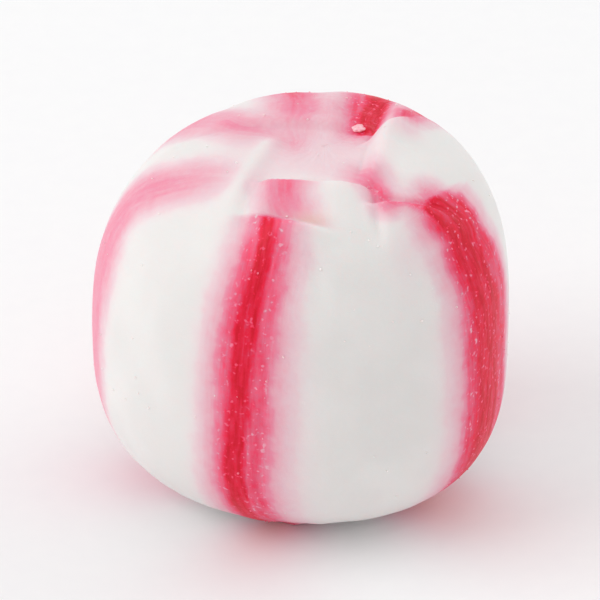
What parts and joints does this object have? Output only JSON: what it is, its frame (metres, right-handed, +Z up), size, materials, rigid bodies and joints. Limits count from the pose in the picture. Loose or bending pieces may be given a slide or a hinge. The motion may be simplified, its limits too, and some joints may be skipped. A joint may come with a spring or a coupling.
{
  "type": "soft peppermint",
  "caption": "Plump barrel-shaped soft peppermint, white with red lengthwise stripes, its ends pinched into pinwheels of overlapping folds, standing on the flattened base end.",
  "frame": {"origin": "middle of the outline, level with the flat of the base end", "axes": "+Z up along the sweet's own axis, from the pressed base end to the open folded end; -Y towards the side with a broad white panel between two strong stripes"},
  "size_m": [0.0204, 0.02, 0.0191],
  "materials": {
    "pulled_sugar": "satin, slightly translucent white pulled sugar with soft-edged red stripes and a bloom of fine sugar grains"
  },
  "bodies": {
    "root": {"peppermint": "pulled_sugar"}
  },
  "joints": []
}
